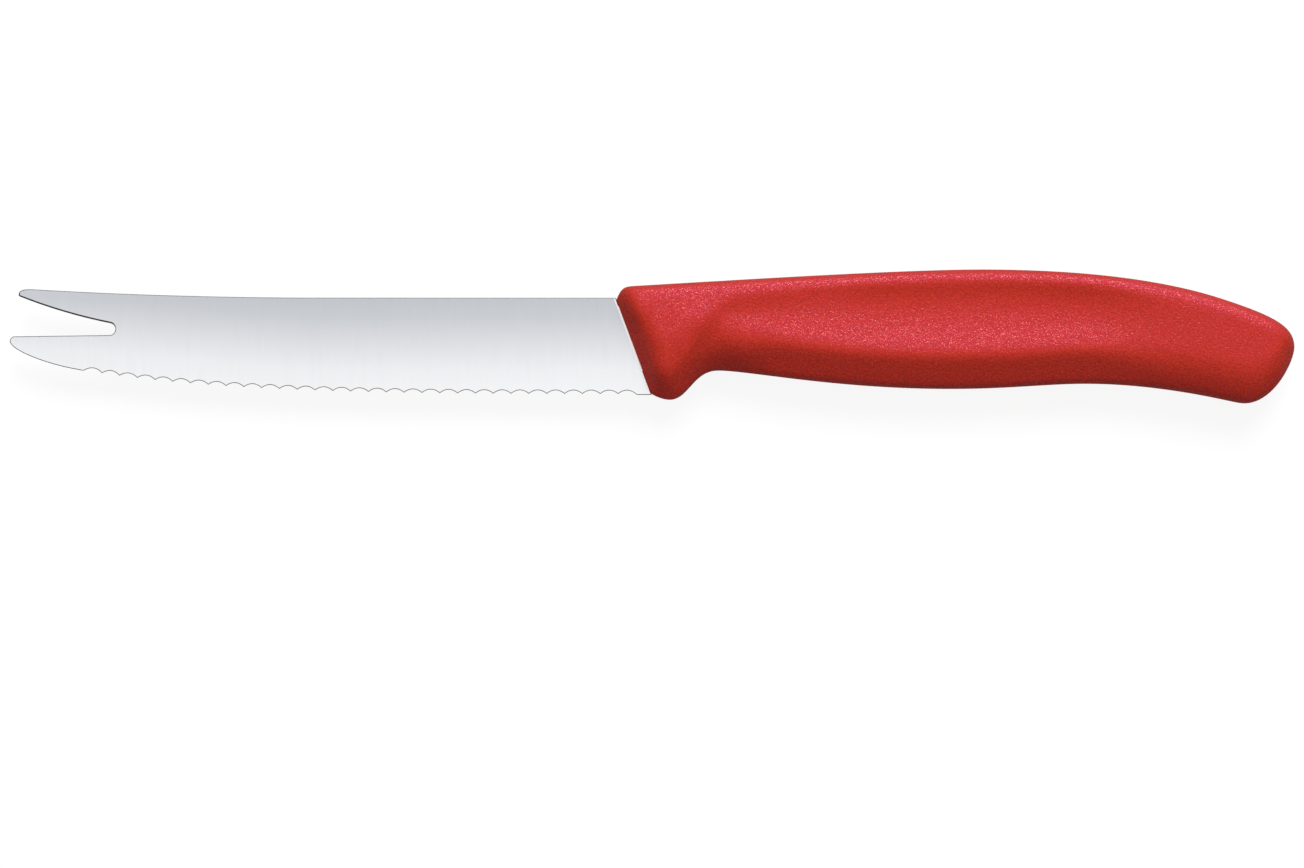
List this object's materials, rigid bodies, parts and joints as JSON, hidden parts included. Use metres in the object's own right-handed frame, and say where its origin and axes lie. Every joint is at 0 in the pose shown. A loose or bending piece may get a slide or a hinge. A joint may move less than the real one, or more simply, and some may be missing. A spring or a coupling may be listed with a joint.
{
  "type": "cheese and sausage knife",
  "caption": "Slicing knife with a wavy edge and a forked tip for picking up slices, in a contoured moulded plastic handle with a finger guard.",
  "frame": {"origin": "bottom centre of the bounding box of the knife lying on its side", "axes": "+X from the forked tip to the butt of the handle, +Y from the cutting edge to the spine, +Z through the thickness, up from the surface it lies on"},
  "size_m": [0.222, 0.0232, 0.013],
  "materials": {
    "polished_steel": "polished",
    "red_plastic": "satin"
  },
  "bodies": {
    "root": {"blade": "polished_steel", "handle": "red_plastic"}
  },
  "joints": []
}
